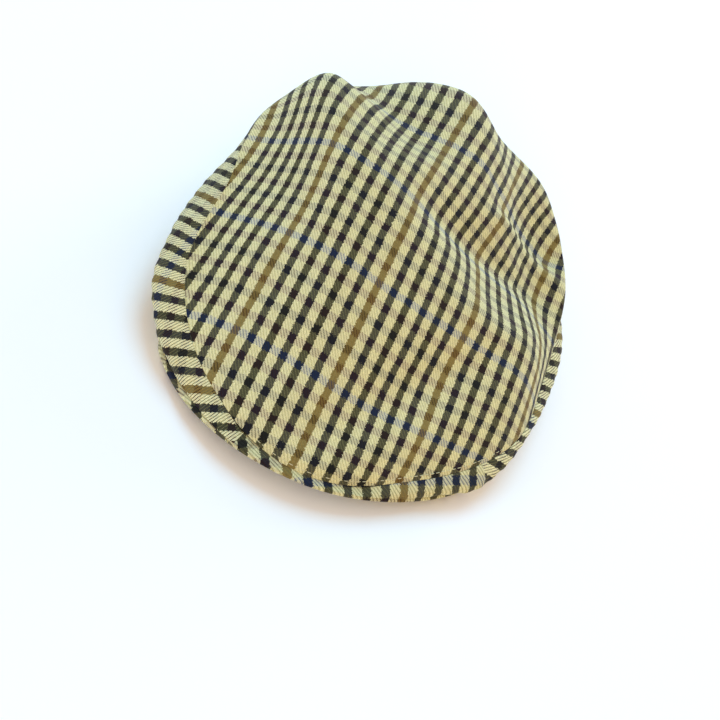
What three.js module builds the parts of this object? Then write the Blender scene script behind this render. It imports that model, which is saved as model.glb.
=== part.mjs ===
// Flat cap in checked wool: a one-piece top panel, two tapering side bands that meet at the centre back,
// and a short cloth-covered peak. Millimetres, +Z up, peak towards -Y, +X on the wearer's left.
// The rim stands on z = 0. Bearings are degrees round the crown's centre line: 0 is the peak, 90 is +X, 180 is the back.
import * as THREE from 'three';

// ---- driving sizes -------------------------------------------------------------------------------
const CLOTH = 2.0;             // wall of the crown and the bands: cloth with its turnings
const GAP = 0.3;               // clearance kept between neighbouring pieces
const HEM = 3.0;               // width of the folded lower edge that stands on the surface
const RIM_HALF_WIDTH = 84;     // head opening, a 58 cm head size
const RIM_HALF_LENGTH = 100;
const RIM_X = -9;              // the crown has slipped this far sideways over the rim
const RIM_Y = 17;
const PEAK_THICK = 3.0;
const PEAK_TOP = 12.0;         // height of the peak's upper face on the centre line
const PEAK_ARCH = 12.4;        // how far the peak's sides drop
const PEAK_ARCH_HALF = 110;
const PEAK_SPAN = 73;          // the peak's tips lie at this bearing, either side
const BAND_START = 12;         // the bands run out at this bearing, either side
const CENTRE_X = 1.16;          // middle of the whole cap from the crown's centre line
const CENTRE_Y = 8.39;
const BEARINGS = 90;           // columns round the crown
const RINGS = 18;              // rows from the crown's centre to the seam
const BAND_ROWS = 5;

// One row for each bearing of the crown: the seam between top panel and band (radius and height),
// how flat the panel stays before it turns down, how steeply it then drops, how far the band swells out,
// how far the peak's edge lies beyond the seam, and how far the panel rolls out over the seam before it turns in.
const SPOKES = [
  { bearing:   0, seam_r: 129.4, seam_z: 16.0, flat: 2.65, steep: 1.06, swell: 4.8, reach: 4.5, puff: 2.0 },
  { bearing:  30, seam_r: 118.2, seam_z: 14.7, flat: 2.93, steep: 1.06, swell: 2.0, reach: 8.1, puff: 0.0 },
  { bearing:  60, seam_r: 117.9, seam_z: 22.3, flat: 2.70, steep: 0.96, swell: 14.2, reach: 4.3, puff: 0.7 },
  { bearing:  90, seam_r: 114.2, seam_z: 22.3, flat: 2.38, steep: 0.88, swell: 21.8, reach: 6.6, puff: 0.5 },
  { bearing: 120, seam_r: 127.4, seam_z: 28.6, flat: 2.54, steep: 0.41, swell: 23.3, reach: 7.8, puff: 5.0 },
  { bearing: 150, seam_r: 149.2, seam_z: 41.6, flat: 2.91, steep: 0.35, swell: 13.2, reach: 8.1, puff: 6.3 },
  { bearing: 180, seam_r: 151.0, seam_z: 47.0, flat: 3.20, steep: 0.38, swell: 8.5, reach: 8.0, puff: 1.4 },
  { bearing: 210, seam_r: 145.0, seam_z: 46.0, flat: 3.05, steep: 0.43, swell: 5.9, reach: 8.0, puff: 0.0 },
  { bearing: 240, seam_r: 127.3, seam_z: 52.0, flat: 2.54, steep: 0.38, swell: 2.0, reach: 8.5, puff: 1.0 },
  { bearing: 270, seam_r: 105.4, seam_z: 46.1, flat: 2.08, steep: 1.02, swell: 19.6, reach: 9.8, puff: 0.8 },
  { bearing: 300, seam_r: 115.8, seam_z: 28.9, flat: 2.27, steep: 1.24, swell: 20.8, reach: 11.0, puff: 0.0 },
  { bearing: 330, seam_r: 123.0, seam_z: 15.2, flat: 2.88, steep: 1.14, swell: 2.0, reach: 13.0, puff: 1.7 },
];
const CROWN = { height: 79.9, lean_x: -0.125, lean_y: 0.361 };

// One row for each fold or swell of the top panel: the line it runs along, how far the line bows sideways,
// its half-width, and its height (negative for a hollow).
const FOLDS = [
  { x0: -106, y0: 118, x1: -33, y1: -23, bow: -8.5, width: 15.9, height: 12.9 },
  { x0: 13, y0: -152, x1: 117, y1: 103, bow: -5.7, width: 33.9, height: -11.2 },
  { x0: -58, y0: 158, x1: 87, y1: 133, bow: -34.3, width: 31.7, height: 21.9 },
  { x0: 5, y0: 50, x1: 70, y1: -40, bow: -12.1, width: 28.6, height: 3.8 },
  { x0: 1, y0: 38, x1: 51, y1: -14, bow: -10.7, width: 31.3, height: -5.6 },
  { x0: -64, y0: 32, x1: -137, y1: -17, bow: -45.0, width: 64.9, height: -20.3 },
  { x0: 17, y0: 77, x1: 103, y1: -24, bow: 11.5, width: 30.1, height: 19.6 },
  { x0: 49, y0: 139, x1: 66, y1: 13, bow: 3.1, width: 51.8, height: -39.7 },
  { x0: -48, y0: 57, x1: 64, y1: 40, bow: 16.3, width: 20.0, height: -5.6 },
  { x0: -59, y0: 78, x1: -17, y1: 124, bow: -6.7, width: 37.8, height: -14.0 },
  { x0: 44, y0: -75, x1: 94, y1: -129, bow: -33.3, width: 58.9, height: 12.9 },
  { x0: -59, y0: -50, x1: -30, y1: -96, bow: -4.3, width: 22.5, height: -3.2 },
  { x0: 5, y0: 20, x1: 91, y1: 51, bow: -2.3, width: 9.6, height: -3.5 },
  { x0: -29, y0: 2, x1: 70, y1: -12, bow: 6.7, width: 18.0, height: 4.9 },
  { x0: 42, y0: 58, x1: 109, y1: 65, bow: 9.4, width: 7.4, height: 5.2 },
  { x0: 38, y0: 77, x1: 110, y1: 98, bow: -4.2, width: 13.9, height: -7.0 },
  { x0: 40, y0: 82, x1: 87, y1: 90, bow: -3.6, width: 11.5, height: 6.6 },
  { x0: -82, y0: 70, x1: -24, y1: 40, bow: -3.9, width: 13.6, height: -3.1 },
];

// ---- functions -----------------------------------------------------------------------------------
const rad = (d) => d * Math.PI / 180;
const clamp = (x, a, b) => Math.min(b, Math.max(a, x));
const lerp = (a, b, t) => a + (b - a) * t;
const smooth = (x, a, b) => { const t = clamp((x - a) / (b - a), 0, 1); return t * t * (3 - 2 * t); };
const side = (b) => Math.abs(((b + 180) % 360 + 360) % 360 - 180);   // bearing away from the peak, 0 to 180

function spoke(column, b) {                // smooth closed curve through one column of SPOKES
  const n = SPOKES.length, t = (((b % 360) + 360) % 360) / (360 / n), i = Math.floor(t) % n, f = t - Math.floor(t);
  const [p0, p1, p2, p3] = [-1, 0, 1, 2].map((k) => SPOKES[(i + k + n) % n][column]);
  return p1 + 0.5 * f * (p2 - p0 + f * (2 * p0 - 5 * p1 + 4 * p2 - p3 + f * (3 * (p1 - p2) + p3 - p0)));
}

function foldHeight(x, y) {
  let z = 0;
  for (const k of FOLDS) {
    const dx = k.x1 - k.x0, dy = k.y1 - k.y0, len = Math.hypot(dx, dy), ux = dx / len, uy = dy / len;
    const s = ((x - k.x0) * ux + (y - k.y0) * uy) / len;
    const d = -(x - k.x0) * uy + (y - k.y0) * ux - k.bow * 4 * s * (1 - s);
    z += k.height * Math.exp(-((d / k.width) ** 2)) * smooth(s, -0.25, 0.25) * (1 - smooth(s, 0.75, 1.25));
  }
  return z;
}

const peakTop = (x) => PEAK_TOP - PEAK_ARCH * (x / PEAK_ARCH_HALF) ** 2;

function rimRadius(b) {                    // the head opening, seen from the crown's centre line
  const sx = Math.sin(rad(b)), sy = -Math.cos(rad(b)), a = RIM_HALF_WIDTH, c = RIM_HALF_LENGTH;
  const A = (sx / a) ** 2 + (sy / c) ** 2, B = -2 * (sx * RIM_X / a ** 2 + sy * RIM_Y / c ** 2);
  const C = (RIM_X / a) ** 2 + (RIM_Y / c) ** 2 - 1;
  return (-B + Math.sqrt(B * B - 4 * A * C)) / (2 * A);
}

const seamRadius = (b) => spoke('seam_r', b);
function seamHeight(b) {                   // the front of the panel comes down onto the peak
  const x = seamRadius(b) * Math.sin(rad(b));
  return lerp(peakTop(x) + CLOTH + GAP, spoke('seam_z', b), smooth(side(b), 4, 26));
}
const peakRadius = (b) => lerp(seamRadius(b) + spoke('reach', b), rimRadius(b) + HEM + 2, smooth(side(b), 44, 74));

function lowerEdge(b) {                    // outer lower edge of the bands: along the peak, then round the rim
  const r = peakRadius(b) - lerp(4, 2, smooth(side(b), 44, 74));
  const x = r * Math.sin(rad(b)), y = -r * Math.cos(rad(b));
  return [x, y, (peakTop(x) + GAP) * (1 - smooth(side(b), 75, 80))];
}

function panelPoint(b, rho) {
  const roll = rho ** 8 * (1 - rho ** 8) * 4;
  const r = seamRadius(b) * rho + spoke('puff', b) * roll, zs = seamHeight(b), x = r * Math.sin(rad(b)), y = -r * Math.cos(rad(b));
  const dome = (1 - Math.min(rho, 1) ** spoke('flat', b)) ** spoke('steep', b);
  const z = zs + (CROWN.height - zs) * dome + (CROWN.lean_x * x + CROWN.lean_y * y) * (1 - rho ** 2);
  return [x, y, z + foldHeight(x, y) * (1 - rho ** 10)];
}

function bandPoint(b, t) {
  const s = panelPoint(b, 1), e = lowerEdge(b), swell = spoke('swell', b) * smooth(side(b), 8, 30) * Math.sin(Math.PI * t ** 0.9);
  return [lerp(s[0], e[0], t) + swell * Math.sin(rad(b)), lerp(s[1], e[1], t) - swell * Math.cos(rad(b)), lerp(s[2], e[2], t)];
}

// ---- the crown's outer face as one grid, and its inner face a cloth's thickness inside ------------
const ROWS = RINGS + BAND_ROWS;
const bearing = (j) => (j * 360) / BEARINGS;
const outer = [], inner = [];
for (let i = 0; i <= ROWS; i++) {
  outer.push([]);
  for (let j = 0; j < BEARINGS; j++) {
    const p = i <= RINGS ? panelPoint(bearing(j), lerp(i / RINGS, Math.sin((i / RINGS) * Math.PI / 2), 0.72)) : bandPoint(bearing(j), (i - RINGS) / BAND_ROWS);
    outer[i].push(new THREE.Vector3(...p));
  }
}
const wrap = (j) => ((j % BEARINGS) + BEARINGS) % BEARINGS;
for (let i = 0; i <= ROWS; i++) {
  inner.push([]);
  for (let j = 0; j < BEARINGS; j++) {
    const down = new THREE.Vector3().subVectors(outer[Math.min(i + 1, ROWS)][j], outer[Math.max(i - 1, 0)][i === 0 ? wrap(j + BEARINGS / 2) : j]);
    if (i === 0) down.subVectors(outer[1][j], outer[1][wrap(j + BEARINGS / 2)]);
    const row = i === 0 ? 1 : i;
    const round = new THREE.Vector3().subVectors(outer[row][wrap(j + 1)], outer[row][wrap(j - 1)]);
    const n = new THREE.Vector3().crossVectors(down, round).normalize();
    const p = outer[i][j].clone().addScaledVector(n, i === 0 ? 0 : -CLOTH);
    if (i === 0) p.z -= CLOTH;
    inner[i].push(p);
  }
}
for (let j = 0; j < BEARINGS; j++) {       // the lower edge is folded flat: on the peak in front, on z = 0 behind
  const b = bearing(j), e = outer[ROWS][j], r = Math.hypot(e.x, e.y) - HEM + 0.4;
  inner[ROWS][j].set(r * Math.sin(rad(b)), -r * Math.cos(rad(b)), e.z);
  if (side(b) < 76) inner[ROWS][j].z = peakTop(inner[ROWS][j].x) + GAP + 0.1;
  for (let i = RINGS; i < ROWS; i++) {
    const p = inner[i][j], floor = side(b) < 76 ? peakTop(p.x) + GAP : e.z;
    p.z = Math.max(p.z, floor + 0.25 * (ROWS - i));
  }
}

function mesh(name, color, roughness, vertices, faces) {
  const g = new THREE.BufferGeometry();
  g.setAttribute('position', new THREE.Float32BufferAttribute(vertices.flatMap((v) => [v.x, v.y, v.z]), 3));
  g.setIndex(faces.flat());
  g.computeVertexNormals();
  const m = new THREE.Mesh(g, new THREE.MeshStandardMaterial({ color, roughness, metalness: 0 }));
  m.name = name;
  return m;
}

// ---- top panel -----------------------------------------------------------------------------------
function crownTop() {
  const v = [outer[0][0], inner[0][0]], f = [], at = (k, i, j) => 2 + ((i - 1) * BEARINGS + wrap(j)) * 2 + k;
  for (let i = 1; i <= RINGS; i++) for (let j = 0; j < BEARINGS; j++) {
    const back = i === RINGS ? GAP / 2 / outer[i][j].distanceTo(outer[i - 1][j]) : 0;
    v.push(outer[i][j].clone().lerp(outer[i - 1][j], back), inner[i][j].clone().lerp(inner[i - 1][j], back));
    if (i === RINGS && side(bearing(j)) < 76) {          // the panel's edge never dips into the peak
      const p = v[v.length - 1]; p.z = Math.max(p.z, peakTop(p.x) + GAP);
    }
  }
  for (let j = 0; j < BEARINGS; j++) {
    f.push([0, at(0, 1, j), at(0, 1, j + 1)], [1, at(1, 1, j + 1), at(1, 1, j)]);
    for (let i = 1; i < RINGS; i++) for (const k of [0, 1]) {
      const [a, b, c, d] = [at(k, i, j), at(k, i + 1, j), at(k, i + 1, j + 1), at(k, i, j + 1)];
      if (k === 0) f.push([a, b, c], [a, c, d]); else f.push([a, c, b], [a, d, c]);
    }
    const [a, b, c, d] = [at(0, RINGS, j), at(1, RINGS, j), at(1, RINGS, j + 1), at(0, RINGS, j + 1)];
    f.push([a, b, c], [a, c, d]);
  }
  return mesh('crown_top', 0xb3aa80, 0.92, v, f);
}

// ---- side bands: from just beside the centre front round to the centre back ----------------------
function sideBand(name, sign) {
  const v = [], f = [], cols = [];
  for (let b = BAND_START; b <= 180; b += 360 / BEARINGS) cols.push(b);
  cols.forEach((b, c) => {
    const j = wrap(Math.round((sign * b) / (360 / BEARINGS)));
    for (let i = RINGS; i <= ROWS; i++) {
      const down = i === RINGS ? GAP / 2 / outer[i][j].distanceTo(outer[i + 1][j]) : 0;
      for (const g of [outer, inner]) {
        const p = g[i][j].clone(); if (down) p.lerp(g[i + 1][j], down);
        if (b === 180) p.x += sign * GAP / 2;
        v.push(p);
      }
    }
  });
  const n = (BAND_ROWS + 1) * 2, at = (c, i, k) => c * n + i * 2 + k;
  const quad = (a, b, c, d) => (sign > 0 ? f.push([a, b, c], [a, c, d]) : f.push([a, c, b], [a, d, c]));
  for (let c = 0; c < cols.length - 1; c++) {
    for (let i = 0; i < BAND_ROWS; i++) {
      quad(at(c, i, 0), at(c, i + 1, 0), at(c + 1, i + 1, 0), at(c + 1, i, 0));
      quad(at(c, i, 1), at(c + 1, i, 1), at(c + 1, i + 1, 1), at(c, i + 1, 1));
    }
    quad(at(c, 0, 0), at(c + 1, 0, 0), at(c + 1, 0, 1), at(c, 0, 1));
    quad(at(c, BAND_ROWS, 0), at(c, BAND_ROWS, 1), at(c + 1, BAND_ROWS, 1), at(c + 1, BAND_ROWS, 0));
  }
  for (let i = 0; i < BAND_ROWS; i++) {
    quad(at(0, i, 0), at(0, i, 1), at(0, i + 1, 1), at(0, i + 1, 0));
    const e = cols.length - 1;
    quad(at(e, i, 0), at(e, i + 1, 0), at(e, i + 1, 1), at(e, i, 1));
  }
  return mesh(name, 0xb0a67c, 0.92, v, f);
}

// ---- peak: an arched crescent plate under the front of the panel ----------------------------------
function peak() {
  const COLS = 36, ACROSS = 4, v = [], f = [];
  for (let c = 0; c <= COLS; c++) {
    const b = lerp(-PEAK_SPAN, PEAK_SPAN, c / COLS);
    const tip = smooth(PEAK_SPAN - Math.abs(b), 0, 6);
    const r0 = rimRadius(b) + 0.5, r1 = peakRadius(b);
    for (let k = 0; k <= ACROSS; k++) {
      const r = lerp(r0, r1, k / ACROSS), edge = k === ACROSS ? 0.7 : 0;
      const x = r * Math.sin(rad(b)), y = -r * Math.cos(rad(b)), thick = lerp(2.2, PEAK_THICK, tip);
      const top = peakTop(x);
      v.push(new THREE.Vector3(x, y, top - edge), new THREE.Vector3(x, y, Math.max(0, top - thick) + edge * 0.6));
    }
  }
  const at = (c, i, k) => (c * (ACROSS + 1) + i) * 2 + k;
  const quad = (a, b, c, d) => f.push([a, b, c], [a, c, d]);
  for (let c = 0; c < COLS; c++) {
    for (let i = 0; i < ACROSS; i++) {
      quad(at(c, i, 0), at(c, i + 1, 0), at(c + 1, i + 1, 0), at(c + 1, i, 0));
      quad(at(c, i, 1), at(c + 1, i, 1), at(c + 1, i + 1, 1), at(c, i + 1, 1));
    }
    quad(at(c, 0, 0), at(c + 1, 0, 0), at(c + 1, 0, 1), at(c, 0, 1));
    quad(at(c, ACROSS, 0), at(c, ACROSS, 1), at(c + 1, ACROSS, 1), at(c + 1, ACROSS, 0));
  }
  for (const c of [0, COLS]) for (let i = 0; i < ACROSS; i++) {
    const q = [at(c, i, 0), at(c, i, 1), at(c, i + 1, 1), at(c, i + 1, 0)];
    if (c === 0) quad(...q); else quad(q[0], q[3], q[2], q[1]);
  }
  return mesh('peak', 0xa9a078, 0.9, v, f);
}

const cap = new THREE.Group();
cap.position.set(-CENTRE_X, -CENTRE_Y, 0);
cap.add(crownTop(), sideBand('side_band_left', -1), sideBand('side_band_right', 1), peak());
export default cap;
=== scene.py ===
import bpy
import numpy as np
from mathutils import Matrix, Vector


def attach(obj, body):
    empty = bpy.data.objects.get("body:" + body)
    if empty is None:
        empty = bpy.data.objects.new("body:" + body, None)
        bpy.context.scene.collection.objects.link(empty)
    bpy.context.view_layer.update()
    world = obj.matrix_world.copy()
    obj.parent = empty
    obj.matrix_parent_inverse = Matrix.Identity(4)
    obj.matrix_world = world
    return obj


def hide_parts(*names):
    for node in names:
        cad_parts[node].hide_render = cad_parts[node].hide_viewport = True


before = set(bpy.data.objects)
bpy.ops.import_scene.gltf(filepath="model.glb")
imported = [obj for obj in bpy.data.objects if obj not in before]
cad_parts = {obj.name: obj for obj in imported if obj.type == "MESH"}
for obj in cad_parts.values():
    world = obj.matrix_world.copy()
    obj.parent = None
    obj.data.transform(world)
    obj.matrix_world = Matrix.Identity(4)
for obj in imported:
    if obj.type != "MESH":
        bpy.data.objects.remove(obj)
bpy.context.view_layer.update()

# Flat cap in checked wool twill. The surface functions below are the CAD part's own, in millimetres about the
# crown's centre line; bearings are degrees, 0 = the peak (-Y), 90 = +X, 180 = the back.

# ---- sizes and tables shared with the CAD part -----------------------------------------------------
CLOTH, GAP, HEM = 2.0, 0.3, 3.0
RIM_HALF_WIDTH, RIM_HALF_LENGTH, RIM_X, RIM_Y = 84.0, 100.0, -9.0, 17.0
PEAK_THICK, PEAK_TOP, PEAK_ARCH, PEAK_ARCH_HALF, PEAK_SPAN = 3.0, 12.0, 12.4, 110.0, 73.0
BAND_START = 12.0
CENTRE_X, CENTRE_Y = 1.16, 8.39
CROWN_HEIGHT, LEAN_X, LEAN_Y = 79.9, -0.125, 0.361
SPOKES = [  # bearing, seam_r, seam_z, flat, steep, swell, reach, puff
    (0, 129.4, 16.0, 2.65, 1.06, 4.8, 4.5, 2.0),
    (30, 118.2, 14.7, 2.93, 1.06, 2.0, 8.1, 0.0),
    (60, 117.9, 22.3, 2.70, 0.96, 14.2, 4.3, 0.7),
    (90, 114.2, 22.3, 2.38, 0.88, 21.8, 6.6, 0.5),
    (120, 127.4, 28.6, 2.54, 0.41, 23.3, 7.8, 5.0),
    (150, 149.2, 41.6, 2.91, 0.35, 13.2, 8.1, 6.3),
    (180, 151.0, 47.0, 3.20, 0.38, 8.5, 8.0, 1.4),
    (210, 145.0, 46.0, 3.05, 0.43, 5.9, 8.0, 0.0),
    (240, 127.3, 52.0, 2.54, 0.38, 2.0, 8.5, 1.0),
    (270, 105.4, 46.1, 2.08, 1.02, 19.6, 9.8, 0.8),
    (300, 115.8, 28.9, 2.27, 1.24, 20.8, 11.0, 0.0),
    (330, 123.0, 15.2, 2.88, 1.14, 2.0, 13.0, 1.7),
]
SEAM_R, SEAM_Z, FLAT, STEEP, SWELL, REACH, PUFF = 1, 2, 3, 4, 5, 6, 7
FOLDS = [  # x0, y0, x1, y1, bow, width, height
    (-106, 118, -33, -23, -8.5, 15.9, 12.9),
    (13, -152, 117, 103, -5.7, 33.9, -11.2),
    (-58, 158, 87, 133, -34.3, 31.7, 21.9),
    (5, 50, 70, -40, -12.1, 28.6, 3.8),
    (1, 38, 51, -14, -10.7, 31.3, -5.6),
    (-64, 32, -137, -17, -45.0, 64.9, -20.3),
    (17, 77, 103, -24, 11.5, 30.1, 19.6),
    (49, 139, 66, 13, 3.1, 51.8, -39.7),
    (-48, 57, 64, 40, 16.3, 20.0, -5.6),
    (-59, 78, -17, 124, -6.7, 37.8, -14.0),
    (44, -75, 94, -129, -33.3, 58.9, 12.9),
    (-59, -50, -30, -96, -4.3, 22.5, -3.2),
    (5, 20, 91, 51, -2.3, 9.6, -3.5),
    (-29, 2, 70, -12, 6.7, 18.0, 4.9),
    (42, 58, 109, 65, 9.4, 7.4, 5.2),
    (38, 77, 110, 98, -4.2, 13.9, -7.0),
    (40, 82, 87, 90, -3.6, 11.5, 6.6),
    (-82, 70, -24, 40, -3.9, 13.6, -3.1),
]

# ---- cloth ------------------------------------------------------------------------------------------
CHECK = 9.6          # mm, one light and one dark stripe
WARP_YARNS, WEFT_YARNS = 20, 16   # yarns in one check
# cloth drift: how the real panel's grain departs from a strain-free one, in checks; x and y in 100 mm
GRAIN = [  # power of x, power of y, across the stripes, along the stripes
    (0, 0, 3.324, -6.661),
    (1, 0, 0.184, -0.014),
    (0, 1, 0.063, -0.507),
    (2, 0, -0.016, 1.657),
    (1, 1, 0.446, 1.032),
    (0, 2, -0.590, -0.552),
    (3, 0, 0.152, -0.002),
    (2, 1, 0.279, 0.615),
    (1, 2, 0.140, 0.073),
    (0, 3, -0.070, 0.635),
    (4, 0, -0.256, -1.026),
    (3, 1, 0.162, -1.603),
    (2, 2, 0.511, 0.494),
    (1, 3, -0.184, -0.842),
    (0, 4, 0.107, 0.597),
]

rad = np.radians


def smooth(x, a, b):
    t = np.clip((x - a) / (b - a), 0, 1)
    return t * t * (3 - 2 * t)


def lerp(a, b, t):
    return a + (b - a) * t


def side(b):
    return np.abs(np.mod(b + 180, 360) - 180)


def spoke(column, b):
    tab = np.array([r[column] for r in SPOKES], float)
    n = len(tab)
    t = np.mod(b, 360) / (360 / n)
    i, f = np.floor(t).astype(int) % n, t - np.floor(t)
    p0, p1, p2, p3 = (tab[(i + k) % n] for k in (-1, 0, 1, 2))
    return p1 + 0.5 * f * (p2 - p0 + f * (2 * p0 - 5 * p1 + 4 * p2 - p3 + f * (3 * (p1 - p2) + p3 - p0)))


def fold_height(x, y):
    z = 0 * x
    for x0, y0, x1, y1, bow, width, height in FOLDS:
        length = np.hypot(x1 - x0, y1 - y0)
        ux, uy = (x1 - x0) / length, (y1 - y0) / length
        s = ((x - x0) * ux + (y - y0) * uy) / length
        d = -(x - x0) * uy + (y - y0) * ux - bow * 4 * s * (1 - s)
        z = z + height * np.exp(-((d / width) ** 2)) * smooth(s, -0.25, 0.25) * (1 - smooth(s, 0.75, 1.25))
    return z


def peak_top(x):
    return PEAK_TOP - PEAK_ARCH * (x / PEAK_ARCH_HALF) ** 2


def rim_radius(b):
    sx, sy, a, c = np.sin(rad(b)), -np.cos(rad(b)), RIM_HALF_WIDTH, RIM_HALF_LENGTH
    A = (sx / a) ** 2 + (sy / c) ** 2
    B = -2 * (sx * RIM_X / a**2 + sy * RIM_Y / c**2)
    C = (RIM_X / a) ** 2 + (RIM_Y / c) ** 2 - 1
    return (-B + np.sqrt(B * B - 4 * A * C)) / (2 * A)


def seam_radius(b):
    return spoke(SEAM_R, b)


def seam_height(b):
    x = seam_radius(b) * np.sin(rad(b))
    return lerp(peak_top(x) + CLOTH + GAP, spoke(SEAM_Z, b), smooth(side(b), 4, 26))


def peak_radius(b):
    return lerp(seam_radius(b) + spoke(REACH, b), rim_radius(b) + HEM + 2, smooth(side(b), 44, 74))


def lower_edge(b):
    r = peak_radius(b) - lerp(4, 2, smooth(side(b), 44, 74))
    x, y = r * np.sin(rad(b)), -r * np.cos(rad(b))
    return x, y, (peak_top(x) + GAP) * (1 - smooth(side(b), 75, 80))


def panel_point(b, rho):
    roll = rho**8 * (1 - rho**8) * 4
    r, zs = seam_radius(b) * rho + spoke(PUFF, b) * roll, seam_height(b)
    x, y = r * np.sin(rad(b)), -r * np.cos(rad(b))
    dome = (1 - np.minimum(rho, 1) ** spoke(FLAT, b)) ** spoke(STEEP, b)
    z = zs + (CROWN_HEIGHT - zs) * dome + (LEAN_X * x + LEAN_Y * y) * (1 - rho**2)
    return np.stack([x, y, z + fold_height(x, y) * (1 - rho**10)], -1)


def band_point(b, t):
    s, e = panel_point(b, 1 + 0 * b), np.stack(lower_edge(b), -1)
    swell = spoke(SWELL, b) * smooth(side(b), 8, 30) * np.sin(np.pi * t**0.9)
    p = s + (e - s) * t[..., None]
    p[..., 0] += swell * np.sin(rad(b))
    p[..., 1] -= swell * np.cos(rad(b))
    return p


# ---- how the cloth lies on those surfaces --------------------------------------------------------------
def turn_down(b):
    """How far the panel's sewn front edge is pulled down onto the peak."""
    return (CLOTH + GAP - 0.4) * (1 - smooth(side(b), 10, 28))


def band_surface(b, t):
    """The band's outer face: it stands out from the seam like a cushion on +X, and in front it runs on over the peak."""
    p, drop = band_point(b, t), seam_height(b) - lower_edge(b)[2]
    cushion = 0.5 * smooth(b, 50, 80) * (1 - smooth(b, 100, 122))
    p[..., 2] += drop * (t - t ** (1 + cushion)) - turn_down(b) * (1 - t)
    front_right = 1 - smooth(b, 44, 54)
    front_left = 0.45 * (1 - smooth(-b, 62, 74)) + 0.55 * (1 - smooth(-b, 18, 30))
    tuck = 3.4 * np.exp(-(((b + 50) / 9) ** 2)) * np.sin(np.pi * t)      # it is drawn in a little on -X
    on = 3.2 * t * np.where(b > 0, front_right, front_left) - tuck
    p[..., 0] += on * np.sin(rad(b))
    p[..., 1] -= on * np.cos(rad(b))
    flat = lerp(0.25, 1, smooth(side(b), 12, 22))
    low = (1 - smooth(side(b), 40, 50)) * (1 - flat)
    p[..., 2] -= low * (p[..., 2] - peak_top(p[..., 0]))
    floor_ = np.where(side(b) < 72, peak_top(p[..., 0]) + 0.1, p[..., 2])
    p[..., 2] = np.maximum(p[..., 2], floor_)
    return p


# ---- flattening: the cloth coordinates of a surface, as little stretched as it can be ----------------
def flatten(P, F, uv, rounds):
    a, b, c = P[F[:, 0]], P[F[:, 1]], P[F[:, 2]]
    length = np.linalg.norm(b - a, axis=1)
    ux = (b - a) / length[:, None]
    n = np.cross(b - a, c - a)
    n /= np.linalg.norm(n, axis=1)[:, None]
    uy = np.cross(n, ux)
    q = np.zeros((len(F), 3, 2))
    q[:, 1, 0] = length
    q[:, 2, 0], q[:, 2, 1] = ((c - a) * ux).sum(1), ((c - a) * uy).sum(1)
    edges = [(1, 2, 0), (2, 0, 1), (0, 1, 2)]
    heads, tails, cots, weights = [], [], [], []
    for i, j, k in edges:
        v, w = q[:, i] - q[:, k], q[:, j] - q[:, k]
        cot = (v * w).sum(1) / (v[:, 0] * w[:, 1] - v[:, 1] * w[:, 0])
        weights.append(cot)
        heads += [F[:, i], F[:, j]]
        tails += [F[:, j], F[:, i]]
        cots += [cot, cot]
    heads, tails, cots = (np.concatenate(x) for x in (heads, tails, cots))
    count = len(P)
    diagonal = np.bincount(heads, cots, count)[:, None]

    def laplace(x):
        g = x[tails] * cots[:, None]
        out = diagonal * x - np.stack([np.bincount(heads, g[:, k], count) for k in (0, 1)], 1)
        out[0] = x[0]
        return out

    uv = uv - uv[0]
    for _ in range(rounds):
        U = uv[F]
        S = np.zeros((len(F), 2, 2))
        for w, (i, j, k) in zip(weights, edges):
            S += w[:, None, None] * np.einsum("ni,nj->nij", U[:, i] - U[:, j], q[:, i] - q[:, j])
        co, si = S[:, 0, 0] + S[:, 1, 1], S[:, 1, 0] - S[:, 0, 1]
        m = np.hypot(co, si)
        co, si = co / m, si / m
        rhs = np.zeros((count, 2))
        for w, (i, j, k) in zip(weights, edges):
            d = (q[:, i] - q[:, j]) * w[:, None]
            d = np.stack([co * d[:, 0] - si * d[:, 1], si * d[:, 0] + co * d[:, 1]], 1)
            for n_ in (0, 1):
                rhs[:, n_] += np.bincount(F[:, i], d[:, n_], count) - np.bincount(F[:, j], d[:, n_], count)
        rhs[0] = 0
        # conjugate gradients from the last answer, with point 0 held still
        r = rhs - laplace(uv)
        r[0] = 0
        z = r / diagonal
        z[0] = 0
        step = z.copy()
        rz = (r * z).sum(0)
        for _k in range(60):
            Ls = laplace(step)
            Ls[0] = 0
            alpha = rz / np.maximum((step * Ls).sum(0), 1e-30)
            uv = uv + alpha * step
            r = r - alpha * Ls
            z = r / diagonal
            z[0] = 0
            new_rz = (r * z).sum(0)
            if np.all(new_rz < 1e-10):
                break
            step = z + step * (new_rz / np.maximum(rz, 1e-30))
            rz = new_rz
    return uv


def cubic(grid, i, wrap):
    """Catmull-Rom along the first axis of grid at the fractional rows i."""
    n = len(grid)
    k = np.clip(np.floor(i).astype(int), 0, n - (1 if wrap else 2))
    f = (i - k).reshape((-1,) + (1,) * (grid.ndim - 1))
    at = (lambda m: grid[m % n]) if wrap else (lambda m: grid[np.clip(m, 0, n - 1)])
    p0, p1, p2, p3 = at(k - 1), at(k), at(k + 1), at(k + 2)
    if not wrap:
        lo, hi = (k == 0).reshape(f.shape), (k == n - 2).reshape(f.shape)
        p0, p3 = np.where(lo, 2 * p1 - p2, p0), np.where(hi, 2 * p2 - p1, p3)
    return p1 + 0.5 * f * (p2 - p0 + f * (2 * p0 - 5 * p1 + 4 * p2 - p3 + f * (3 * (p1 - p2) + p3 - p0)))


DRIFT_EDGE = 0.86    # at the back the drift stays as it is at this share of the seam's radius


def grain(column, x, y):
    b, r = np.degrees(np.arctan2(x, -y)), np.hypot(x, y)
    limit = seam_radius(b) * lerp(1.1, DRIFT_EDGE, smooth(side(b), 75, 125))
    pull = np.minimum(1, limit / np.maximum(r, 1e-6))
    x, y = x * pull, y * pull
    return sum(row[column] * (x / 100) ** row[0] * (y / 100) ** row[1] for row in GRAIN)


FLAT_BEARINGS, FLAT_RINGS = 120, 30


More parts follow.
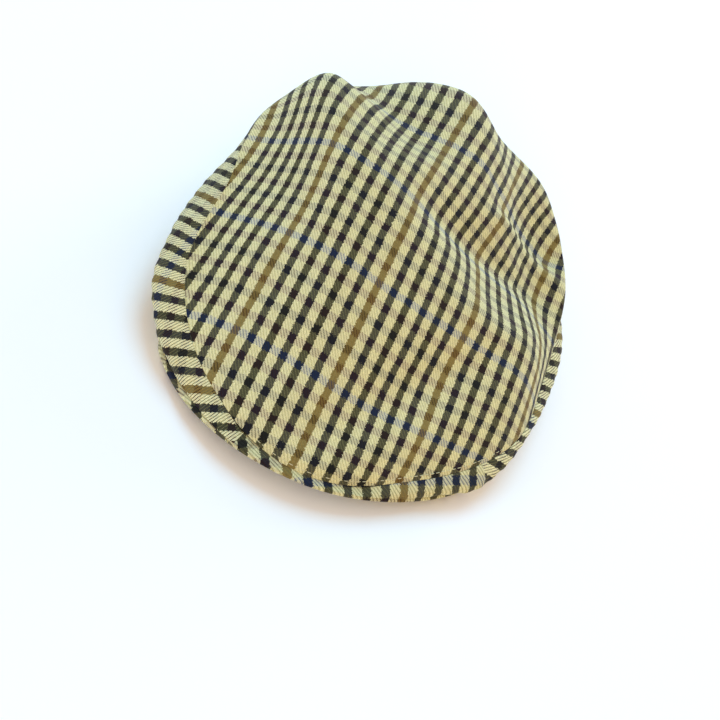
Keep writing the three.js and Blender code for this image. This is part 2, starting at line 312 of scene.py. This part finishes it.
def ring_rho(t):
    return lerp(t, np.sin(t * np.pi / 2), 0.6)


def panel_cloth():
    """Cloth coordinates of the top panel on a coarse polar grid: rows of rings, columns of bearings, then (u, v) in checks."""
    nb, nr = FLAT_BEARINGS, FLAT_RINGS
    B, R = np.meshgrid(np.arange(nb) * 360 / nb, ring_rho(np.arange(1, nr + 1) / nr))
    P = np.vstack([panel_point(np.zeros(1), np.zeros(1)), panel_point(B, R).reshape(-1, 3)])
    F = []
    for j in range(nb):
        k = (j + 1) % nb
        F.append((0, 1 + j, 1 + k))
        for i in range(nr - 1):
            a, b, c, d = 1 + i * nb + j, 1 + (i + 1) * nb + j, 1 + (i + 1) * nb + k, 1 + i * nb + k
            F += [(a, b, c), (a, c, d)] if (i + j) % 2 else [(a, b, d), (b, c, d)]
    q = flatten(P, np.array(F), P[:, :2].copy(), 30) / CHECK
    u, v = q[:, 0] + grain(2, P[:, 0], P[:, 1]), -q[:, 1] + grain(3, P[:, 0], P[:, 1])
    q = np.stack([u, v], 1)
    return np.vstack([np.repeat(q[:1], nb, 0)[None], q[1:].reshape(nr, nb, 2)])


def panel_uv(cloth, b, rho):
    """(rings, bearings, 2) cloth coordinates at the bearings b and radii rho."""
    table = np.linspace(0, 1, 2001)
    t = np.interp(rho, ring_rho(table), table) * FLAT_RINGS
    nb = cloth.shape[1]
    ghost = np.roll(cloth[1], nb // 2, axis=0)
    rows = cubic(np.concatenate([ghost[None], cloth]), t + 1, False)
    return np.swapaxes(cubic(np.swapaxes(rows, 0, 1), np.mod(b, 360) / 360 * nb, True), 0, 1)


# ---- mesh helpers -----------------------------------------------------------------------------------
def grid_normals(P, wrap):
    down = np.gradient(P, axis=0)
    if wrap:
        across = (np.roll(P, -1, 1) - np.roll(P, 1, 1)) / 2
    else:
        across = np.gradient(P, axis=1)
    n = np.cross(down, across)
    return n / np.maximum(np.linalg.norm(n, axis=-1, keepdims=True), 1e-9)


def build(name, points, faces, uvs, material):
    """points in mm about the crown's centre line; faces wound outward; uvs one (u, v) for each point."""
    co = (np.asarray(points, float) - [CENTRE_X, CENTRE_Y, 0]) / 1000
    mesh = bpy.data.meshes.new(name)
    mesh.from_pydata(co.tolist(), [], faces)
    mesh.validate()
    layer = mesh.uv_layers.new(name="cloth")
    loops = np.zeros(len(mesh.loops), int)
    mesh.loops.foreach_get("vertex_index", loops)
    layer.data.foreach_set("uv", np.asarray(uvs, np.float32)[loops].ravel())
    mesh.materials.append(material)
    mesh.polygons.foreach_set("use_smooth", [True] * len(mesh.polygons))
    mesh.update()
    obj = bpy.data.objects.new(name, mesh)
    bpy.context.scene.collection.objects.link(obj)
    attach(obj, "root")
    return obj


def loop_faces(rows, cols, wrap, flip=False):
    """Quads of a grid whose vertex (i, j) is number i * cols + j."""
    out = []
    for i in range(rows - 1):
        for j in range(cols if wrap else cols - 1):
            k = (j + 1) % cols
            q = (i * cols + j, (i + 1) * cols + j, (i + 1) * cols + k, i * cols + k)
            out.append(q[::-1] if flip else q)
    return out


# ---- materials --------------------------------------------------------------------------------------
def srgb(r, g, b):
    c = np.array([r, g, b]) / 255
    return (*np.where(c < 0.04045, c / 12.92, ((c + 0.055) / 1.055) ** 2.4), 1.0)


CREAM_WARP, CREAM_WEFT = srgb(237, 234, 186), srgb(233, 230, 188)
WARP = dict(black=srgb(22, 23, 17), navy=srgb(22, 25, 38), brown=srgb(130, 109, 52))
WEFT = dict(black=srgb(24, 24, 24), maroon=srgb(92, 30, 34), blue=srgb(20, 84, 190))
WARP_DARKS = ("black", "navy", "brown", "navy", "black", "navy")       # from u = 0 on, one check each
WEFT_DARKS = ("maroon", "black", "maroon", "blue", "maroon", "black")  # from v = 0 on
WEFT_SHARE = 0.46    # how much of the weft shows in the face
STRAY = 5.0          # how far hairs carry the edge of a stripe, yarns
GROOVE = 0.74        # painted shade: how much of the light the base colour keeps at the bottom of the groove between two twill ribs


def wool(name, seed, bump_strength, groove, soft, relief_low=0.15, relief_high=0.95, painted_bounce_lift=0.28, painted_light_gain=1.0):
    m = bpy.data.materials.new(name)
    m.use_nodes = True
    nt = m.node_tree
    nodes, links = nt.nodes, nt.links
    bsdf = nodes["Principled BSDF"]

    def math(op, a, b=None, c=None):
        n = nodes.new("ShaderNodeMath")
        n.operation = op
        for k, v in enumerate((a, b, c)):
            if v is None:
                continue
            if isinstance(v, (int, float)):
                n.inputs[k].default_value = v
            else:
                links.new(v, n.inputs[k])
        return n.outputs[0]

    def mix(fac, a, b, blend="MIX"):
        n = nodes.new("ShaderNodeMix")
        n.data_type, n.blend_type = "RGBA", blend
        for sock, v in ((n.inputs[0], fac), (n.inputs[6], a), (n.inputs[7], b)):
            if isinstance(v, (int, float, tuple)):
                sock.default_value = v
            else:
                links.new(v, sock)
        return n.outputs[2]

    def noise(scale, detail, vector):
        n = nodes.new("ShaderNodeTexNoise")
        n.inputs["Scale"].default_value = scale
        n.inputs["Detail"].default_value = detail
        links.new(vector, n.inputs["Vector"])
        return n.outputs

    def vector(x, y):
        n = nodes.new("ShaderNodeCombineXYZ")
        for k, v in enumerate((x, y)):
            if isinstance(v, (int, float)):
                n.inputs[k].default_value = v
            else:
                links.new(v, n.inputs[k])
        return n.outputs[0]

    def grey(lo, hi, fac):
        return mix(fac, (lo, lo, lo, 1), (hi, hi, hi, 1))

    uv = nodes.new("ShaderNodeUVMap")
    uv.uv_map = "cloth"
    # yarns wander a little
    sep = nodes.new("ShaderNodeSeparateXYZ")
    links.new(uv.outputs[0], sep.inputs[0])
    off = nodes.new("ShaderNodeSeparateColor")
    links.new(noise(1.6, 2.0, uv.outputs[0])["Color"], off.inputs[0])
    u = math("ADD", sep.outputs[0], math("MULTIPLY", math("SUBTRACT", off.outputs[0], 0.5), 0.07))
    v = math("ADD", sep.outputs[1], math("MULTIPLY", math("SUBTRACT", off.outputs[1], 0.5), 0.07))
    yu = math("MULTIPLY_ADD", u, WARP_YARNS, 0.5)
    yv = math("MULTIPLY_ADD", v, WEFT_YARNS, 0.5)
    iu, iv = math("FLOOR", yu), math("FLOOR", yv)
    fu, fv = math("FRACT", yu), math("FRACT", yv)

    def stripes(index, yarns, first, last, darks, colours, cream):
        ramp = nodes.new("ShaderNodeValToRGB")
        ramp.color_ramp.interpolation = "CONSTANT"
        el = ramp.color_ramp.elements
        el[0].position, el[0].color = 0, cream
        el[1].position, el[1].color = first / yarns / 6, colours[darks[0]]
        for k in range(6):
            if k:
                el.new((k + first / yarns) / 6).color = colours[darks[k]]
            el.new((k + last / yarns) / 6).color = cream
        at = math("DIVIDE", math("MODULO", math("ADD", index, 6 * yarns * 50), 6 * yarns), 6 * yarns)
        links.new(at, ramp.inputs[0])
        return ramp.outputs[0]

    # hairs carry the stripes' edges some yarns to and fro
    stray = nodes.new("ShaderNodeSeparateColor")
    links.new(noise(9.0, 2.0, uv.outputs[0])["Color"], stray.inputs[0])
    warp = stripes(math("ADD", iu, math("MULTIPLY_ADD", stray.outputs[0], STRAY, 0.5 - STRAY / 2)), WARP_YARNS, 6, 15, WARP_DARKS, WARP,
                   CREAM_WARP)
    weft = stripes(math("ADD", iv, math("MULTIPLY_ADD", stray.outputs[1], STRAY, 0.5 - STRAY / 2)), WEFT_YARNS, 5, 12, WEFT_DARKS, WEFT,
                   CREAM_WEFT)
    # 3/1 twill: the warp floats over three picks, then goes under one
    m4 = math("MODULO", math("ADD", math("SUBTRACT", iu, iv), 4 * 6 * WARP_YARNS * WEFT_YARNS + 0.5), 4)
    cu = math("ABSOLUTE", math("SUBTRACT", math("MULTIPLY", fu, 2), 1))
    cv = math("ABSOLUTE", math("SUBTRACT", math("MULTIPLY", fv, 2), 1))
    sunk = math("LESS_THAN", m4, 1)
    weft_up = math("MAXIMUM", sunk, math("GREATER_THAN", cu, 0.87))
    over = math("SUBTRACT", 1, weft_up)
    # place along the warp's float, 0 to 3, and its rounded profile
    along = math("ADD", math("SUBTRACT", 3, math("FLOOR", m4)), fv)
    crown_ = math("POWER", math("SINE", math("MULTIPLY", math("MINIMUM", along, 3), 3.14159 / 3)), 0.55)
    round_u = math("SUBTRACT", 1, math("POWER", cu, 2.5))
    round_v = math("SUBTRACT", 1, math("POWER", cv, 2.5))
    warp_h = math("MULTIPLY", math("MULTIPLY_ADD", crown_, 0.62, 0.38), math("MULTIPLY_ADD", round_u, 0.45, 0.55))
    weft_h = math("MULTIPLY", round_v, 0.34)
    relief = math("ADD", math("MULTIPLY", warp_h, over), math("MULTIPLY", weft_h, weft_up))

    # loose fibres lie across the yarns, so every yarn takes a share of the colour round it
    # painted shade: the sunk weft's colour is scaled by the light the yarns beside it would throw back, so it is darker
    # between dark ones
    painted_bounce = mix(1.0, mix(1.0, warp, (0.6, 0.6, 0.6, 1), "MULTIPLY"), (painted_bounce_lift, painted_bounce_lift, painted_bounce_lift * 0.66, 1), "ADD")
    weft = mix(1.0, weft, painted_bounce, "MULTIPLY")
    blend = mix(WEFT_SHARE, warp, weft)
    cloth = mix(soft, mix(over, weft, warp), blend)

    # each yarn's own shade, then its slubs
    shade = nodes.new("ShaderNodeTexWhiteNoise")
    shade.noise_dimensions = "2D"
    links.new(vector(math("MULTIPLY", iu, over), math("ADD", math("MULTIPLY", iv, weft_up), seed)), shade.inputs["Vector"])
    cloth = mix(1.0, cloth, grey(0.90, 1.08, shade.outputs[0]), "MULTIPLY")
    slub = noise(1.0, 2.0, vector(math("MULTIPLY", u, WARP_YARNS * 0.9), math("MULTIPLY", v, 4.0)))["Fac"]
    cloth = mix(1.0, cloth, grey(0.80, 1.18, slub), "MULTIPLY")
    nap = noise(13.0, 2.0, uv.outputs[0])["Fac"]
    cloth = mix(1.0, cloth, grey(0.74, 1.24, nap), "MULTIPLY")
    # soft mottling over some millimetres, a little warmer or cooler
    mott = noise(0.8, 3.0, uv.outputs[0])["Fac"]
    cloth = mix(1.0, cloth, mix(mott, (0.93, 0.93, 0.95, 1), (1.07, 1.07, 1.03, 1)), "MULTIPLY")
    # painted shade: the base colour is darkened in the grooves, where less light reaches
    groove_shade = nodes.new("ShaderNodeMapRange")
    links.new(relief, groove_shade.inputs[0])
    groove_shade.inputs[1].default_value, groove_shade.inputs[2].default_value = relief_low, relief_high
    groove_shade.inputs[3].default_value, groove_shade.inputs[4].default_value = groove, 1.0
    cloth = mix(1.0, cloth, groove_shade.outputs[0], "MULTIPLY")
    # painted light: the whole cloth is made brighter by this gain (1.12 on the bands)
    cloth = mix(1.0, cloth, (painted_light_gain, painted_light_gain, painted_light_gain * 1.03, 1), "MULTIPLY")
    links.new(cloth, bsdf.inputs["Base Color"])

    bump = nodes.new("ShaderNodeBump")
    bump.inputs["Strength"].default_value = bump_strength
    bump.inputs["Distance"].default_value = 0.0003
    fuzz = noise(30, 3.0, uv.outputs[0])["Fac"]
    links.new(math("MULTIPLY_ADD", fuzz, 0.35, relief), bump.inputs["Height"])
    links.new(bump.outputs[0], bsdf.inputs["Normal"])
    bsdf.inputs["Roughness"].default_value = 0.85
    bsdf.inputs["Specular IOR Level"].default_value = 0.22
    bsdf.inputs["Sheen Weight"].default_value = 0.10
    bsdf.inputs["Sheen Roughness"].default_value = 0.5
    bsdf.inputs["Sheen Tint"].default_value = (1.0, 0.96, 0.86, 1)
    return m


crown_cloth = wool("crown_cloth", 0.0, 0.6, GROOVE, 0.50)
# the bands' cloth is a copy with painted light, 1.12 brighter overall, and deeper painted groove shade (0.12) for the
# raking light on the bands
band_cloth = wool("band_cloth", 31.0, 1.0, GROOVE - 0.62, 0.10, 0.27, 0.55, 0.75, 1.12)
peak_cloth = wool("peak_cloth", 57.0, 0.8, GROOVE - 0.20, 0.45)

# ---- top panel --------------------------------------------------------------------------------------
COLS = 320
WELT = 0.3           # radius of the turned edge at a seam, mm


def welt(d, r=WELT):
    """How far a turned edge falls away at the distance d from it."""
    t = np.clip(1 - d / r, 0, 1)
    return r * (1 - np.sqrt(np.maximum(0, 1 - t * t)))


def top_panel():
    cloth = panel_cloth()
    b = np.arange(COLS) * 360 / COLS
    t = np.arange(1, 79) / 78
    rho = np.concatenate([ring_rho(t * 0.985) / 1.0, [0.9903, 0.9935, 0.9962, 0.9982, 0.99955, 1.0]])
    rho = np.unique(np.round(rho, 6))
    B, R = np.meshgrid(b, rho)
    P = panel_point(B, R)
    N = grid_normals(P, True)
    seam = P[-1]
    dist = np.linalg.norm(P - seam, axis=-1)
    P = P - N * welt(dist)[..., None]
    P[..., 2] -= turn_down(B) * smooth(5 - dist, 0, 5)
    wall = CLOTH * 0.9
    Q = P - N * wall * smooth(dist, -0.5, 3.0)[..., None]
    uv = panel_uv(cloth, b, rho)
    rows = len(rho)
    top, low = panel_point(np.zeros(1), np.zeros(1)), panel_point(np.zeros(1), np.zeros(1)) - [[0, 0, wall]]
    pts = np.vstack([top, P.reshape(-1, 3), low, Q.reshape(-1, 3)])
    n = 1 + rows * COLS
    c0 = panel_uv(cloth, b[:1], np.zeros(1))[0]
    uvs = np.vstack([c0, uv.reshape(-1, 2), c0, uv.reshape(-1, 2)])
    faces = []
    for j in range(COLS):
        k = (j + 1) % COLS
        faces += [(0, 1 + j, 1 + k), (n, n + 1 + k, n + 1 + j)]
        a, d = 1 + (rows - 1) * COLS + j, 1 + (rows - 1) * COLS + k
        faces.append((a, n + a, n + d, d))
    g = loop_faces(rows, COLS, True)
    faces += [tuple(1 + x for x in q) for q in g] + [tuple(n + 1 + x for x in q[::-1]) for q in g]
    return build("crown_top_cloth", pts, faces, uvs, crown_cloth)


crown = top_panel()
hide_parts("crown_top")


# ---- side bands -------------------------------------------------------------------------------------
PUCKER = 0.35        # height of the small puckers across a band, mm; one to each check


def band(name, sign, peak_part):
    """peak_part: up to this bearing the strip beside the panel's edge is cut from the peak's own cloth."""
    cols = int(round((180 - BAND_START) * 320 / 360))
    b = BAND_START + (180 - BAND_START) * np.arange(cols + 1) / cols
    t = np.concatenate([[0, 0.006, 0.015, 0.028, 0.045], np.linspace(0.065, 0.95, 28), [0.972, 0.988, 1.0]])
    B, T = np.meshgrid(b * sign, t)
    P = band_surface(B, T)
    N = grid_normals(P, False) * sign
    run = np.concatenate([[0], np.cumsum(np.linalg.norm(np.diff(P[len(t) // 2], axis=0), axis=-1))])
    P = P + N * (PUCKER * np.sin(2 * np.pi * run / CHECK)[None] * (np.sin(np.pi * T) ** 0.7))[..., None]
    dist = np.linalg.norm(P - P[0], axis=-1)
    P = P - N * welt(dist)[..., None]
    hem = np.linalg.norm(P - P[-1], axis=-1)
    shell = CLOTH * 0.9 * smooth(dist, -0.5, 3.0) * smooth(hem, -0.8, 2.0)
    Q = P - N * shell[..., None]
    P[..., 2], Q[..., 2] = np.maximum(P[..., 2], 0), np.maximum(Q[..., 2], 0)
    # cloth coordinates, flattened on a coarser grid
    cb = BAND_START + (180 - BAND_START) * np.arange(61) / 60
    ct = np.arange(8) / 7
    CB, CT = np.meshgrid(cb * sign, ct)
    C = band_surface(CB, CT)
    F = []
    for i in range(7):
        for j in range(60):
            a, b_, c, d = i * 61 + j, (i + 1) * 61 + j, (i + 1) * 61 + j + 1, i * 61 + j + 1
            q = [(a, b_, c), (a, c, d)] if (i + j) % 2 else [(a, b_, d), (b_, c, d)]
            F += q if sign > 0 else [x[::-1] for x in q]
    along = np.concatenate([[0], np.cumsum(np.linalg.norm(np.diff(C[0], axis=0), axis=-1))])
    down = np.linalg.norm(C - C[0], axis=-1)
    guess = np.stack([np.broadcast_to(along * sign, down.shape), -down], -1).reshape(-1, 2)
    q = flatten(C.reshape(-1, 3), np.array(F), guess, 40).reshape(8, 61, 2) / CHECK
    rows = cubic(q, t * 7, False)
    uv = np.swapaxes(cubic(np.swapaxes(rows, 0, 1), (b - BAND_START) / (180 - BAND_START) * 60, False), 0, 1)
    turn, stretch, u0, v0 = BAND_GRAIN[name]
    ca, sa = np.cos(rad(turn)), np.sin(rad(turn))
    uv = np.stack([(uv[..., 0] * ca - uv[..., 1] * sa) * stretch + u0, -uv[..., 0] * sa - uv[..., 1] * ca + v0], -1)
    n = P.shape[0] * P.shape[1]
    pts, uvs = np.vstack([P.reshape(-1, 3), Q.reshape(-1, 3)]), np.vstack([uv.reshape(-1, 2)] * 2)
    R_, C_ = P.shape[:2]
    g = loop_faces(R_, C_, False, flip=sign < 0)
    faces = list(g) + [tuple(n + x for x in q[::-1]) for q in g]
    ring = [j for j in range(C_)] + [i * C_ + C_ - 1 for i in range(1, R_)]
    ring += [(R_ - 1) * C_ + j for j in range(C_ - 2, -1, -1)] + [i * C_ for i in range(R_ - 2, 0, -1)]
    for a, c in zip(ring, ring[1:] + ring[:1]):
        q = (a, c, n + c, n + a)
        faces.append(q if sign > 0 else q[::-1])
    obj = build(name + "_cloth", pts, faces, uvs, band_cloth)
    mesh = obj.data
    mesh.materials.append(peak_cloth)
    vertex, start = np.zeros(len(mesh.loops), int), np.zeros(len(mesh.polygons), int)
    mesh.loops.foreach_get("vertex_index", vertex)
    mesh.polygons.foreach_get("loop_start", start)
    last = int(np.searchsorted(b, peak_part)) - 1
    corner = (vertex % n) % C_ <= last
    front = np.logical_and.reduceat(corner, start)
    layer = mesh.uv_layers["cloth"]
    flat_uv = np.zeros(2 * len(vertex), np.float32)
    layer.data.foreach_get("uv", flat_uv)
    flat_uv = flat_uv.reshape(-1, 2)
    mine = np.repeat(front, np.diff(np.append(start, len(vertex))))
    xy = np.vstack([P.reshape(-1, 3), Q.reshape(-1, 3)])[vertex[mine]]
    flat_uv[mine] = peak_uv(xy[:, 0], xy[:, 1])
    layer.data.foreach_set("uv", flat_uv.ravel())
    mesh.polygons.foreach_set("material_index", front.astype(np.int32))
    mesh.update()
    return obj


PEAK_GRAIN = (28.8, 0.92, 3.12, -7.83)   # turn, stretch, offsets, as for the bands


def peak_uv(x, y):
    turn, stretch, u0, v0 = PEAK_GRAIN
    ca, sa = np.cos(rad(turn)) * stretch / CHECK, np.sin(rad(turn)) * stretch / CHECK
    return np.stack([x * ca + y * sa + u0, x * sa - y * ca + v0], -1)


BAND_GRAIN = {  # turn of the grain in degrees, checks for each flat check across the stripes, offsets in checks
    "side_band_left": (29.5, 1.037, 5.33, 3.3),
    "side_band_right": (-45.0, 0.965, 5.30, 0.0),
}
left = band("side_band_left", -1, 16)
right = band("side_band_right", 1, 50)
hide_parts("side_band_left")
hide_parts("side_band_right")


# ---- peak -------------------------------------------------------------------------------------------
def peak():
    cols, across = 180, 26
    b = np.linspace(-PEAK_SPAN, PEAK_SPAN, cols + 1)
    k = np.concatenate([np.linspace(0, 0.93, across - 7), [0.95, 0.965, 0.978, 0.988, 0.994, 0.998, 1.0]])
    B, K_ = np.meshgrid(b, k)
    tip = smooth(PEAK_SPAN - np.abs(B), 0, 6)
    r0, r1 = rim_radius(B) + 0.5, peak_radius(B)
    r = lerp(r0, r1, K_)
    x, y = r * np.sin(rad(B)), -r * np.cos(rad(B))
    thick = lerp(2.2, PEAK_THICK, tip)
    half = thick / 2
    edge = np.minimum(np.abs(r1 - r), np.minimum(r - r0 + 0.6, 99))
    fall = half * 0.98 * (1 - np.sqrt(np.maximum(0, 1 - np.clip(1 - edge / (half * 1.15), 0, 1) ** 2)))
    top = peak_top(x) - fall
    low = np.maximum(0, peak_top(x) - thick) + np.minimum(fall, half * 0.98)
    low = np.minimum(low, top - 0.05)
    P, Q = np.stack([x, y, top], -1), np.stack([x, y, low], -1)
    n = P.shape[0] * P.shape[1]
    uv = peak_uv(x, y)
    pts, uvs = np.vstack([P.reshape(-1, 3), Q.reshape(-1, 3)]), np.vstack([uv.reshape(-1, 2)] * 2)
    R_, C_ = P.shape[:2]
    g = loop_faces(R_, C_, False)
    faces = list(g) + [tuple(n + x for x in q[::-1]) for q in g]
    ring = [j for j in range(C_)] + [i * C_ + C_ - 1 for i in range(1, R_)]
    ring += [(R_ - 1) * C_ + j for j in range(C_ - 2, -1, -1)] + [i * C_ for i in range(R_ - 2, 0, -1)]
    for a, c in zip(ring, ring[1:] + ring[:1]):
        faces.append((a, c, n + c, n + a))
    return build("peak_cloth_piece", pts, faces, uvs, peak_cloth)


visor = peak()
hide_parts("peak")


# ---- topstitching along the panel's front edge --------------------------------------------------------
STITCH_LONG, STITCH_GAP, STITCH_RADIUS, STITCH_INSET = 2.5, 0.8, 0.2, 2.0   # mm
STITCH_FROM, STITCH_TO = -12.0, 58.0                                        # bearings


def thread_material():
    m = bpy.data.materials.new("thread")
    m.use_nodes = True
    nt = m.node_tree
    bsdf = nt.nodes["Principled BSDF"]
    grain_ = nt.nodes.new("ShaderNodeTexNoise")
    grain_.inputs["Scale"].default_value = 900
    ramp = nt.nodes.new("ShaderNodeValToRGB")
    ramp.color_ramp.elements[0].color, ramp.color_ramp.elements[1].color = srgb(196, 190, 150), srgb(226, 220, 180)
    nt.links.new(grain_.outputs["Fac"], ramp.inputs[0])
    nt.links.new(ramp.outputs[0], bsdf.inputs["Base Color"])
    bsdf.inputs["Roughness"].default_value = 0.8
    return m


def topstitches():
    b = np.linspace(STITCH_FROM - 3, STITCH_TO + 3, 700)
    rho = 1 - np.array([STITCH_INSET + 0.5, STITCH_INSET, STITCH_INSET - 0.5, 0]) / seam_radius(b).mean()
    B, R = np.meshgrid(b, rho)
    P = panel_point(B, R)
    dist = np.linalg.norm(P - P[-1], axis=-1)
    P[..., 2] -= turn_down(B) * smooth(5 - dist, 0, 5)
    N = grid_normals(P, False)[1]
    line = P[1]
    run = np.concatenate([[0], np.cumsum(np.linalg.norm(np.diff(line, axis=0), axis=-1))])
    s = float(np.interp(STITCH_FROM, b, run))
    end = float(np.interp(STITCH_TO, b, run))
    at = lambda v, d: np.array([np.interp(d, run, v[:, k]) for k in range(3)])
    pts, faces = [], []
    while s + STITCH_LONG < end:
        n0 = len(pts)
        for i, f in enumerate(np.linspace(0, 1, 7)):
            d = s + f * STITCH_LONG
            c, up_ = at(line, d), at(N, d)
            ahead = at(line, d + 0.1) - at(line, d - 0.1)
            ahead /= np.linalg.norm(ahead)
            cross = np.cross(up_, ahead)
            arch = np.sqrt(max(0.0, 1 - (2 * f - 1) ** 2))
            thick = STITCH_RADIUS * max(0.25, arch ** 0.5)
            c = c + up_ * (STITCH_RADIUS * (1.6 * arch - 0.6))
            for k in range(6):
                a = k * np.pi / 3
                pts.append(c + thick * (np.cos(a) * cross + np.sin(a) * up_))
        for i in range(6):
            for k in range(6):
                a0, a1 = n0 + i * 6 + k, n0 + i * 6 + (k + 1) % 6
                faces.append((a0, a1, a1 + 6, a0 + 6))
        faces.append(tuple(n0 + k for k in range(5, -1, -1)))
        faces.append(tuple(n0 + 36 + k for k in range(6)))
        s += STITCH_LONG + STITCH_GAP
    return build("front_topstitching", pts, faces, np.zeros((len(pts), 2)), thread_material())


topstitches()

# ---- floor, light, camera ---------------------------------------------------------------------------
floor_mesh = bpy.data.meshes.new("floor")
floor_mesh.from_pydata([(-4, -4, -0.0002), (4, -4, -0.0002), (4, 4, -0.0002), (-4, 4, -0.0002)], [], [(0, 1, 2, 3)])
floor = bpy.data.objects.new("floor", floor_mesh)
bpy.context.scene.collection.objects.link(floor)
pale = bpy.data.materials.new("floor")
pale.use_nodes = True
pale.node_tree.nodes["Principled BSDF"].inputs["Base Color"].default_value = srgb(250, 252, 254)
pale.node_tree.nodes["Principled BSDF"].inputs["Roughness"].default_value = 0.7
floor_mesh.materials.append(pale)

world = bpy.data.worlds.new("studio")
bpy.context.scene.world = world
world.use_nodes = True
world.node_tree.nodes["Background"].inputs[0].default_value = (1.0, 0.85, 0.70, 1)
world.node_tree.nodes["Background"].inputs[1].default_value = 0.75
seen = world.node_tree.nodes.new("ShaderNodeBackground")     # what shows behind the floor's far edge
seen.inputs[0].default_value = (0.95, 0.96, 0.97, 1)
rays, either = world.node_tree.nodes.new("ShaderNodeLightPath"), world.node_tree.nodes.new("ShaderNodeMixShader")
world.node_tree.links.new(rays.outputs["Is Camera Ray"], either.inputs[0])
world.node_tree.links.new(world.node_tree.nodes["Background"].outputs[0], either.inputs[1])
world.node_tree.links.new(seen.outputs[0], either.inputs[2])
world.node_tree.links.new(either.outputs[0], world.node_tree.nodes["World Output"].inputs[0])


def area_light(name, at, target, size, power, colour):
    data = bpy.data.lights.new(name, "AREA")
    data.shape, data.size, data.energy, data.color = "DISK", size, power, colour
    o = bpy.data.objects.new(name, data)
    bpy.context.scene.collection.objects.link(o)
    o.location = at
    o.rotation_mode = "QUATERNION"
    o.rotation_quaternion = (Vector(target) - Vector(at)).to_track_quat("-Z", "Y")
    return o


LAMP_FAR = 8.0       # distance of the lamps, m


def lamp(name, bearing, height, size, light, colour):
    """A round lamp; bearing 0 stands in front of the peak, 90 at the wearer's left. light is what it gives a
    surface that faces it, where 1 turns white cloth to full white."""
    a, h = rad(bearing), rad(height)
    at = (LAMP_FAR * np.cos(h) * np.sin(a), -LAMP_FAR * np.cos(h) * np.cos(a), 0.05 + LAMP_FAR * np.sin(h))
    return area_light(name, at, (0, 0, 0.05), size * LAMP_FAR, light * (np.pi * LAMP_FAR) ** 2, colour)


lamp("warm_front", 0, 25, 0.5, 0.267, (1.0, 0.48, 0.02))
lamp("cool_left", 300, 15, 0.5, 0.375, (0.05, 0.48, 1.0))
lamp("cool_back", 180, 50, 0.6, 0.648, (0.21, 0.65, 1.0))
lamp("soft_right", 150, 15, 0.45, 0.347, (0.86, 0.83, 1.0))

camera_data = bpy.data.cameras.new("camera")
camera_data.lens, camera_data.sensor_width = 40.0, 36.0
camera_data.clip_start, camera_data.clip_end = 0.02, 20
camera = bpy.data.objects.new("camera", camera_data)
bpy.context.scene.collection.objects.link(camera)
right_, fwd = np.array([0.882021, 0.283970, 0.376030]), np.array([0.100044, 0.666965, -0.738342])
fwd /= np.linalg.norm(fwd)
right_ -= fwd * (right_ @ fwd)
right_ /= np.linalg.norm(right_)
up = np.cross(right_, fwd)
m = Matrix.Identity(4)
for i in range(3):
    m[i][0], m[i][1], m[i][2] = right_[i], up[i], -fwd[i]
m[0][3], m[1][3], m[2][3] = -0.04041, -0.35612, 0.34867
camera.matrix_world = m
bpy.context.scene.camera = camera
bpy.context.scene.view_settings.view_transform = "Standard"
